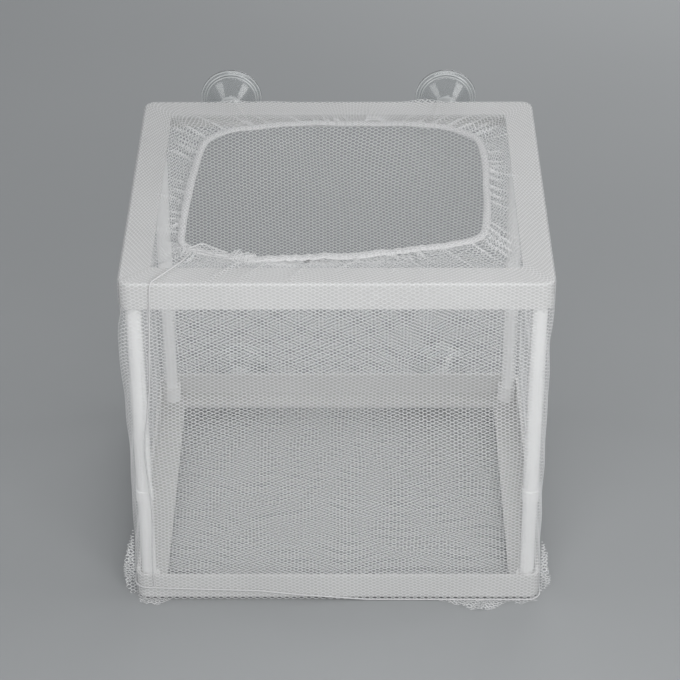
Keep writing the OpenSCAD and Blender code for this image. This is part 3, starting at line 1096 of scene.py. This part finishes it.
def hem_surface(share, angle, lift):
    """A point of the hem at a share of its length, at an angle round it from its outer side."""
    x, y = mouth_point(share)
    ahead_x, ahead_y = mouth_point(share + 0.002)
    behind_x, behind_y = mouth_point(share - 0.002)
    tx, ty = ahead_x - behind_x, ahead_y - behind_y
    run = np.hypot(tx, ty)
    # the front side is a little wider, and the stitches pucker it
    middle = (mouth_corners[0] + mouth_corners[1]) / 2
    front = bell(np.mod(share - middle + 0.5, 1) - 0.5, 0, 0.12)
    half_w = HEM_R * (TAPE_WIDTH + WIDER_IN_FRONT * front + TAPE_VARIES * sines(share, 7))
    half_h = HEM_R * (TAPE_HEIGHT + TAPE_VARIES * sines(share, 11, 2))
    wave = LONG_WAVE * sines(share, 9, 1) + SHORT_WAVE * sines(share, 23)
    pucker = PUCKER * front * np.sin(2 * np.pi * (47 * share + 0.8 * sines(share, 9)))
    across = (half_w + lift) * np.cos(angle)
    z = HEM_Z + wave + pucker + (half_h + lift) * np.sin(angle)
    return in_frame(x + ty / run * across, y - tx / run * across, z)


# %% Elastic
bpy.ops.object.select_all(action="DESELECT")
bpy.ops.mesh.primitive_torus_add(
    major_segments=HEM_STEPS, minor_segments=HEM_SIDES, major_radius=1, minor_radius=0.25
)
hem = bpy.context.active_object
hem.name = hem.data.name = "elastic_hem"
ring = points_of(hem)
ring_share = np.arctan2(ring[:, 1], ring[:, 0]) / (2 * np.pi)
ring_angle = np.arctan2(ring[:, 2], np.hypot(ring[:, 0], ring[:, 1]) - 1)
move_points(hem, hem_surface(ring_share, ring_angle, np.zeros(len(ring))))
edit(hem, lambda: bpy.ops.mesh.normals_make_consistent(inside=False))
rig.replaces(hem, "elastic_band")
dress(hem, knitted_elastic(), "elastic")
print("hem:", len(hem.data.polygons), "faces")

# %% [markdown]
# The strip's last rows are turned round the elastic and sewn down as its casing. There the columns
# are crowded, and the rows run along the hem as fine lines.

# %% Casing
CASING_ROWS = 7
# the casing goes a little more than once round the elastic, and lies just off it
CASING_TURNS = 1.08
CASING_LIFT = 0.12 * MM
casing = knit("hem_casing", wall_edges[4] - wall_edges[0], CASING_ROWS)
flat = points_of(casing)
u = flat[:, 0] + wall_edges[0] * COLUMN_W
gather = PLEAT_W / (2 * np.pi) * np.sin(2 * np.pi * pleat_phase(u))
share = share_at(u - 0.5 * gather) + twist_at(u)
angle = 2 * np.pi * CASING_TURNS * flat[:, 1] / (CASING_ROWS * CELL_H)
angle += 0.25 * slow_waves(u, 0 * u, 5.0)
move_points(casing, hem_surface(share, angle, flat[:, 2] + CASING_LIFT))
keep_yarn(casing, flat)
sew_on(casing, net_material, "gathered_collar")
print("casing:", len(casing.data.polygons), "faces")

# %% [markdown]
# ## Seams
#
# The bag is cut from two pieces, the strip and the floor, and sewn at the left front corner and all
# round the floor. A rolled seam is a hard little cord of folded net, so it is made as a thin tube: a
# curve with a round bevel, turned into a mesh. At the top the corner's seam goes on over the frame's
# edge to the hem.

# %% Helpers for seams
def through(points, spacing):
    """Points at even spacing on a smooth open curve through the given ones, in metres."""
    given = np.asarray(points, float) * MM
    ends = np.concatenate([[2 * given[0] - given[1]], given, [2 * given[-1] - given[-2]]])
    fine = [
        smooth(*four, t) for four in zip(ends, ends[1:], ends[2:], ends[3:]) for t in np.arange(12) / 12
    ]
    fine = np.array(fine + [given[-1]])
    run = run_along(fine)
    at = np.linspace(0, run[-1], max(2, round(run[-1] / spacing)))
    return np.stack([np.interp(at, run, column) for column in fine.T], axis=1)


def rolled_seam(name, points, radius, sewn_to, closed=False):
    """A thin round tube of net along the points, sewn to a sheet."""
    curve = bpy.data.curves.new(name, "CURVE")
    curve.dimensions = "3D"
    curve.bevel_depth = radius
    curve.bevel_resolution = 2
    curve.use_fill_caps = True
    spline = curve.splines.new("POLY")
    spline.points.add(len(points) - 1)
    for knot, point in zip(spline.points, points):
        knot.co = (*point, 1)
    spline.use_cyclic_u = closed
    seam = new_object(name, curve)
    select_only(seam)
    bpy.ops.object.convert(target="MESH")
    sew_on(seam, seam_material, sewn_to)
    return seam


def rolled_net():
    """Net rolled into a seam: the same nylon, but its yarns lie close, so it is bumpy and dense. Its tone is painted
    greyer than the net's, darkest in the hollows between the lumps: painted shade.
    """
    material, shader, place = new_material("Rolled_nylon_seam")
    # the crossing yarns make lumps about 0.9 mm apart, and the same noise paints their hollows darker as painted shade
    lumps, tone = two_tones(material, place, 0.909 * MM, 2.0, "#C6C6C6", "#E8E8E8")
    bump = add_node(material, "Bump", {"Height": lumps, "Strength": 0.8, "Distance": 0.3 * MM})
    set_node(shader, {
        "Base Color": tone, "Normal": bump.outputs["Normal"],
        "Roughness": 0.6, "IOR": 1.53,
    })
    return material


seam_material = rolled_net()


# %% Corner seam
SEAM_R = 0.36 * MM
SEAM_SPACING = 1.6 * MM


def crown(line):
    """Raises a plan line on to the collar: over the flange, or a little lower where the net hangs."""
    hang = np.clip((from_edge(*line.T) - FLANGE_W) / (5 * MM), 0, 1)
    return in_frame(*line.T, BAG_TOP + 0.5 * MM * (1 - hang))


# x and height on the front wall, then x and y over the top frame
corner_up = through([
    (-77.3, 7), (-77.3, 30), (-77.2, 60), (-77.0, 80), (-76.0, 92.4), (-74.9, 106.9), (-74.0, 121.3),
    (-73.1, 135.4), (-72.5, 149.3), (-72.1, 155.2),
], SEAM_SPACING)
corner_over = through([
    (-71.6, -75.9), (-68.2, -71.2), (-63.4, -64.4), (-60.4, -59.2), (-58.2, -54.5),
], SEAM_SPACING)
on_wall = bag_points(
    corner_up[:, 0] + BAG_HALF_W - BAG_R, corner_up[:, 1] + NET_GAP, np.full(len(corner_up), 0.35 * MM)
)
corner_line = np.concatenate([on_wall, crown(corner_over)])
corner_seam = rolled_seam("corner_seam_cord", corner_line, SEAM_R, "bag_front")
print("corner seam:", len(corner_seam.data.polygons), "faces")


# %% Stitch lines of the hem
# the casing is sewn along both edges, and each line of stitches stands up as a thin ridge
STITCH_R = 0.2 * MM
STITCH_LIFT = 0.06 * MM
stitch_angles = {"outer": 0.62, "inner": 2.5}
share = np.arange(0, 1, 1 / 260)
for edge, angle in stitch_angles.items():
    line = hem_surface(share, angle + 0 * share, STITCH_LIFT)
    rolled_seam("hem_stitches_" + edge, line, STITCH_R, "gathered_collar", closed=True)
print("stitch lines of", len(share), "points")


# %% Floor seam
def floor_seam_height(x):
    """How high the floor's seam runs on the front skirt, in metres: it sinks to the edge."""
    places = [-85, -70, -54.8, -32.9, -16, 3, 12, 85]
    return MM * np.interp(x / MM, places, [6.6, 6.0, 5.4, 4.7, 2.5, 0.9, 0.1, -0.1])


FLOOR_SEAM_SPACING = 2.2 * MM
# how far the cord's middle stands out from the wall
SEAM_PROUD = 0.3 * MM
u = np.arange(0, ROUND_L, FLOOR_SEAM_SPACING)
x, y, nx, ny = rim_point(u)
past_front = np.maximum(np.maximum(-ARC_L - from_corner(u), from_corner(u) - FRONT_L - ARC_L), 0)
at_front = soft(np.clip(1 - past_front / (35 * MM), 0, 1))
at_back = 1.2 * MM + 0.9 * MM * slow_waves(u, 0 * u, 6.0)
height = at_back + (floor_seam_height(x) - at_back) * at_front
floor_line = in_frame(x + nx * SEAM_PROUD, y + ny * SEAM_PROUD, BAG_BOTTOM + height)
floor_seam_cord = rolled_seam("floor_seam_cord", floor_line, SEAM_R, "bag_floor", closed=True)
print("floor seam:", len(floor_seam_cord.data.polygons), "faces")

# %% [markdown]
# Where the seams end, their spare cloth stands out from the corners and lies in front of the floor's
# edge, cut roughly and a little frayed. These are small flat patches of the same net: knitted, cut to
# an outline, and bent to their place.


# %% Helpers for patches
def inside_outline(p, outline):
    """True for each point that lies inside the closed outline of x, y pairs."""
    hit = np.zeros(len(p), bool)
    x1, y1 = outline[-1]
    for x2, y2 in outline:
        spans = (p[:, 1] < y1) != (p[:, 1] < y2)
        slope = (x2 - x1) / (y2 - y1) if y2 != y1 else 0.0
        hit ^= spans & (p[:, 0] < x1 + (p[:, 1] - y1) * slope)
        x1, y1 = x2, y2
    return hit


def net_patch(name, outline, place, sewn_to, turn=0.0):
    """Net cut to an outline in millimetres. place(x, y, lift) gives its points in the room."""
    outline = [(x * MM, y * MM) for x, y in outline]
    lo, hi = np.min(outline, axis=0), np.max(outline, axis=0)
    width, length = hi - lo
    net = knit(name, 2 * math.ceil(width / COLUMN_W / 2) + 2, math.ceil(length / CELL_H) + 2)
    flat = points_of(net)
    middle = (lo + hi) / 2
    x, y = (flat[:, :2] + lo - (COLUMN_W, CELL_H / 2) - middle).T
    c, s = math.cos(turn), math.sin(turn)
    flat[:, :2] = middle + np.stack([c * x - s * y, s * x + c * y], axis=1)
    move_points(net, flat)
    cut_away(net, lambda p: ~inside_outline(p, outline))
    flat = points_of(net)
    move_points(net, place(*flat.T))
    keep_yarn(net, flat)
    sew_on(net, net_material, sewn_to)
    print(name, len(net.data.polygons), "faces")
    return net


# the lower cloth of a seam lies under the upper one and is a little shorter
UNDER_GAP = 0.22 * MM
UNDER_LENGTH = 0.93
UNDER_TURN = 0.5


def seam_spare(name, outline, place, sewn_to, turn=0.0):
    """The two cloths of a seam, cut to one outline. They lie on each other at different angles."""
    upper = net_patch(name, outline, place, sewn_to, turn)

    def below(x, y, lift):
        return place(x, y * UNDER_LENGTH, lift - UNDER_GAP)

    net_patch(name + "_under", outline, below, sewn_to, turn + UNDER_TURN)
    return upper


# %% Corner fins
# how high the fins wave, and over what length
FIN_WAVE = 0.9 * MM
FIN_WAVE_L = 17 * MM


def corner_fin(name, side, outline):
    """The spare cloth at a front corner stands out sideways and waves a little."""
    def place(x, y, lift):
        wave = FIN_WAVE * np.sin(2 * np.pi * y / FIN_WAVE_L + side) * np.clip(x / (3 * MM), 0, 1)
        front = CORNER_R - HALF_D + wave + lift
        return in_frame(side * (BAG_HALF_W + 0.2 * MM + x), front, BAG_BOTTOM + y)
    fin = seam_spare("corner_fin_" + name, outline, place, "bag_" + name)
    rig.replaces(fin, "corner_seam_" + name)


corner_fin("left", -1, [
    (0, 0), (2.2, -0.4), (3.9, 2.4), (4.8, 8), (4.7, 14), (3.3, 22), (1.2, 29), (0, 33),
])
corner_fin("right", 1, [
    (0, 0), (1.8, 0), (4.6, 4.5), (4.1, 9), (3, 13), (2.6, 20), (0.9, 26), (0, 27),
])


# %% Floor frill
FRILL_WAVE = 0.45 * MM
FRILL_WAVE_L = 9 * MM
# the frill rises a little forward, as the table does under the tilted box
FRILL_SLOPE = 0.044


def on_the_table(x, y, lift):
    """The frill lies forward from the floor's front edge, in small waves on the table."""
    wave = FRILL_WAVE * (1 + np.sin(2 * np.pi * x / FRILL_WAVE_L + y / (2 * MM)))
    z = BAG_BOTTOM - 0.04 * MM + wave * np.clip(y / (3 * MM), 0, 1) + FRILL_SLOPE * y + lift
    return in_frame(x, -BAG_HALF_D - y, z)


floor_frill = seam_spare("floor_frill", [
    (37, -0.8), (43, 1.6), (48, 3.4), (52, 5.2), (55.5, 7.4), (60, 8.2), (64, 7.6), (67, 6),
    (70.5, 3.4), (74, 2.6), (77, 3.8), (81, 3), (84.6, 1.6), (84, -0.8),
], on_the_table, "bag_floor", turn=0.12)
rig.replaces(floor_frill, "floor_seam")
seam_spare("corner_frill", [
    (-84, -0.8), (-83.5, 2.2), (-81, 4.2), (-78, 3.6), (-75.5, 4.4), (-73, 2.6), (-71, 0.8), (-70, -0.8),
], on_the_table, "bag_floor", turn=-0.2)

# %% [markdown]
# The hem's casing is closed at the left front corner of the mouth. Its spare end was never cut off: a
# little flap of net lies over the elastic there, with two stiff edges.

# %% Spare end of the casing
def over_the_hem(x, y, lift):
    """The flap lies on the hem and bows up between its ends."""
    arch = 0.3 * MM * np.sin(np.pi * np.clip((x + 0.059) / 0.022, 0, 1))
    return in_frame(x, y, HEM_Z + HEM_R + arch + lift)


flap_top = [
    (-58.4, -54.8), (-56.3, -53.3), (-53.3, -51.5), (-50.8, -53.2), (-48.3, -54.9), (-45.9, -56.6),
    (-43.0, -58.2),
]
flap_foot = [
    (-58.0, -55.6), (-55.4, -56.2), (-53.0, -57.0), (-49.7, -59.0), (-46.5, -60.4), (-42.5, -61.4),
]
net_patch("hem_flap", flap_top + flap_foot[::-1], over_the_hem, "gathered_collar", turn=-0.55)
for number, line in enumerate((flap_top, flap_foot)):
    path = through(line, 1.2 * MM)
    edge = over_the_hem(path[:, 0], path[:, 1], 0 * path[:, 0])
    rolled_seam(f"flap_edge_{number + 1}", edge, 0.3 * MM, "gathered_collar")


# %% Crumpled ends
# how many times too large the net is before it is pushed together, how high it stands up then, and
# how far its crumples go
PUSHED = 2.2
CRUMPLE_H = 1.1 * MM
CRUMPLE = 0.5 * MM


def crumpled(name, middle, half_w, half_l, turn, seed):
    """An oval of net that is too large and pushed together, and lies crumpled on the hem."""
    wide, long = PUSHED * half_w, PUSHED * half_l
    angles = np.linspace(0, 2 * np.pi, 16, endpoint=False)
    outline = [(wide * math.cos(a), long * math.sin(a)) for a in angles]
    c, s = math.cos(turn), math.sin(turn)

    def place(x, y, lift):
        edge = np.clip((x / (wide * MM)) ** 2 + (y / (long * MM)) ** 2, 0, 1)
        across = x / PUSHED + CRUMPLE * slow_waves(x * 6, y * 6, seed)
        along = y / PUSHED + CRUMPLE * slow_waves(x * 6, y * 6, seed + 5)
        up = CRUMPLE_H * (1 - edge) + CRUMPLE * slow_waves(x * 5, y * 5, seed + 9)
        px = middle[0] * MM + c * across - s * along
        py = middle[1] * MM + s * across + c * along
        return in_frame(px, py, HEM_Z + 0.45 * HEM_R + np.maximum(up, -0.3 * MM) + lift)

    net_patch(name, outline, place, "gathered_collar", turn=seed)


crumpled("hem_crumple", (-37.4, -60.0), 5.8, 4.2, -0.35, 2.0)
crumpled("hem_crumple_end", (-33.2, -61.6), 3.2, 3.6, 0.4, 3.0)
crumpled("hem_knot", (-59.9, -55.0), 2.9, 4.2, 0.3, 4.0)

# %% The bag's pieces of cloth
for sheet in sheets:
    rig.sheet(with_pieces=trims.get(sheet["obj"].name, []), **sheet)
print("sheets:", len(sheets), "with", sum(len(t) for t in trims.values()), "pieces sewn on")

# %% [markdown]
# ## Suction cups
#
# The cups are soft clear PVC, cast in one piece: a boss that is pushed on to the frame's stud, and a
# bell with a ringed rim. The half section is drawn as a line of edges and spun round the cup's own
# axis, which gives the casting its true inner and outer skins, and each stud gets a copy. Soft PVC is clear where it
# is thin and milky where it is thick, so the boss gets a casting of its own that lets less light through. The
# rim's three ridges get a copy that lets less light through as well, which paints their highlights in as light lines.


# %% Cast PVC
def cast_pvc(name, clearness):
    """Soft PVC from a polished mould, as clear as clearness says. Less clear copies are the milky boss and the rim's
    ridges, where they are painted highlights.
    """
    material, shader, place = new_material(name)
    # soft PVC has a faint cloud in it, about 8 mm across, and an uneven gloss where it left the mould
    cloud, tone = two_tones(material, place, 8.33 * MM, 3.0, "#E6E9E9", "#F0F2F2")
    rough = add_node(material, "MapRange", {"Value": cloud, "To Min": 0.06, "To Max": 0.14})
    set_node(shader, {
        "Base Color": tone, "Roughness": rough.outputs["Result"], "IOR": 1.53,
        "Transmission Weight": clearness, "Coat Weight": 0.3, "Coat Roughness": 0.05,
    })
    return material


# the rim's ridges take a copy that lets less light through, so that they show as light lines: painted highlights
castings = [
    cast_pvc("Cast_clear_PVC", 0.92), cast_pvc("Thick_milky_PVC", 0.45), cast_pvc("Rim_ridge_highlight_PVC", 0.35),
]
CLEAR, MILKY, RIDGE_HIGHLIGHT = range(3)
print("castings:", [casting.name for casting in castings])


# %% The cup's half section
# radius from the axis and distance behind the skirt, in millimetres
stud_bore = [(0, 5.3), (3.4, 5.3), (3.4, 3.35), (3.05, 3.0), (3.05, 1.05), (3.2, 1.0)]
boss = [(3.8, 1.0), (4.3, 1.13), (4.65, 1.45), (4.8, 2.0), (4.8, 5.0), (4.95, 5.5), (5.3, 6.1)]
bell_outside = [(7.6, 9.5), (9.9, 13.0), (10.3, 13.5)]
rings = [
    (10.55, 13.65), (10.9, 13.62), (11.05, 13.85), (11.2, 14.12), (11.55, 14.1), (11.9, 14.08),
    (12.05, 14.3), (12.2, 14.57), (12.6, 14.56), (12.95, 14.55), (13.15, 14.75),
]
rim = [(13.45, 14.95), (13.65, 15.15), (13.7, 15.5), (13.66, 15.85), (13.45, 16.0), (12.7, 16.0)]
bell_inside = [(12.4, 15.9), (10.3, 15.55), (8.6, 13.2), (5.4, 8.8), (3.9, 7.0), (3.3, 6.8), (0, 6.8)]
cup_section = stud_bore + boss + bell_outside + rings + rim + bell_inside
CUP_STEPS = 96
# where the milky boss ends, where the three ridges run and where the rim starts behind them
BOSS_END = 6.3 * MM
RIDGES = [11.05 * MM, 12.05 * MM, 13.35 * MM]
RIDGE_HALF_W = 0.17 * MM
RIM_START = 15.1 * MM
print("the half section has", len(cup_section), "points")


# %% Spin one cup
mesh = bpy.data.meshes.new("cup")
section = [(radius * MM, depth * MM, 0) for radius, depth in cup_section]
mesh.from_pydata(section, [(i, i + 1) for i in range(len(section) - 1)], [])
cup = new_object("cup", mesh)
edit(
    cup,
    lambda: bpy.ops.mesh.spin(
        steps=CUP_STEPS, angle=2 * math.pi, center=(0, 0, 0), axis=(0, 1, 0)
    ),
    lambda: bpy.ops.mesh.select_all(action="SELECT"),
    lambda: bpy.ops.mesh.remove_doubles(threshold=0.01 * MM),
    lambda: bpy.ops.mesh.normals_make_consistent(inside=False),
)
select_only(cup)
bpy.ops.object.shade_smooth_by_angle(angle=math.radians(50))
print("cup:", len(mesh.polygons), "faces")

# %% Give its faces their castings
for casting in castings:
    mesh.materials.append(casting)
x, depth, z = np.array([face.center for face in mesh.polygons]).T
off_ridge = np.min([np.abs(np.hypot(x, z) - ridge) for ridge in RIDGES], axis=0)
on_ridge = (off_ridge < RIDGE_HALF_W) & (depth < RIM_START)
# faces on the ridges take the copy with the painted highlights
kinds = np.where(depth < BOSS_END, MILKY, np.where(on_ridge, RIDGE_HIGHLIGHT, CLEAR))
mesh.polygons.foreach_set("material_index", kinds.astype(np.int32))
print("faces in each casting:", np.bincount(kinds))

# %% Push a cup on each stud
for place, (x, z) in cup_axes.items():
    pushed_on = copy_of(mesh, "cup_" + place + "_pvc", (x, MID_Y + HALF_D, z))
    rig.replaces(pushed_on, "suction_cup_" + place)
    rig.ride(pushed_on, "cup_" + place)
    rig.slot(pushed_on, "cup_pvc")
bpy.data.objects.remove(cup)
print("cups on", list(cup_axes))

# %% [markdown]
# ## Light and floor
#
# A pale floor, the sky's even light and four large soft lamps, as in a small product studio: a key
# low in front, one on each side and one behind. The lower cups reach a little below the bottom frame,
# so the box leans forward on to its front edge: the floor is drawn at that small angle instead of
# turning the box.

# %% Studio floor
# the floor touches the cups' rims behind and the net's frill in front
front_edge_y = MID_Y - HALF_D - 1 * MM
front_edge_z = BAG_BOTTOM - 0.4 * MM
cup_rim_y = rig.box("suction_cup_bottom_left")[1][1]
floor_slope = math.atan2(front_edge_z, cup_rim_y - front_edge_y)
print(f"the floor slopes by {math.degrees(floor_slope):.2f} degrees")

bpy.ops.object.select_all(action="DESELECT")
bpy.ops.mesh.primitive_plane_add(
    size=40, location=(0, cup_rim_y, -0.02 * MM), rotation=(-floor_slope, 0, 0)
)
studio_floor = bpy.context.active_object
studio_floor.name = "studio_floor"
apply_place(studio_floor)


def painted_board():
    """Board with dull paint, a little uneven over a hand's width, to take the box's soft shadow."""
    material, shader, place = new_material("Painted_board")
    _, tone = two_tones(material, place, 167 * MM, 2.0, "#A3A5A6", "#A7A9AA")
    set_node(shader, {"Base Color": tone, "Roughness": 0.9, "Specular IOR Level": 0.2})
    return material


studio_floor.data.materials.append(painted_board())
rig.stage(studio_floor)

# %% Lamps and sky
world = bpy.data.worlds.new("studio")
bpy.context.scene.world = world
world.use_nodes = True
set_node(world.node_tree.nodes["Background"], {"Color": (0.95, 0.97, 1.0, 1), "Strength": 0.36})


def soft_lamp(name, place, size, power):
    """A square area lamp that faces the box."""
    lamp = new_object(name, bpy.data.lights.new(name, "AREA"))
    lamp.data.shape = "SQUARE"
    lamp.data.size = size
    lamp.data.energy = power
    lamp.location = place
    lamp.rotation_mode = "QUATERNION"
    lamp.rotation_quaternion = (view_target - Vector(place)).to_track_quat("-Z", "Y")


soft_lamp("key", (0.05, -0.47, 0.37), 0.4, 1.6)
soft_lamp("right", (0.97, 0.02, 0.78), 0.6, 2.3)
soft_lamp("left", (-0.9, 0.02, 0.86), 0.55, 1.3)
soft_lamp("back", (0.3, 0.95, 0.4), 0.6, 2.5)

# %% [markdown]
# ## Sizes
#
# The boxes of the imported model and of the dressed one are written to a file and printed.

# %% Sizes and finish
visual_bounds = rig.bounds()
with open("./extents.json", "w") as out:
    json.dump({
        "cad": [list(corner) for corner in cad_bounds],
        "visual": [list(corner) for corner in visual_bounds],
    }, out)
print("cad", [[round(1000 * c, 1) for c in corner] for corner in cad_bounds])
print("visual", [[round(1000 * c, 1) for c in corner] for corner in visual_bounds])
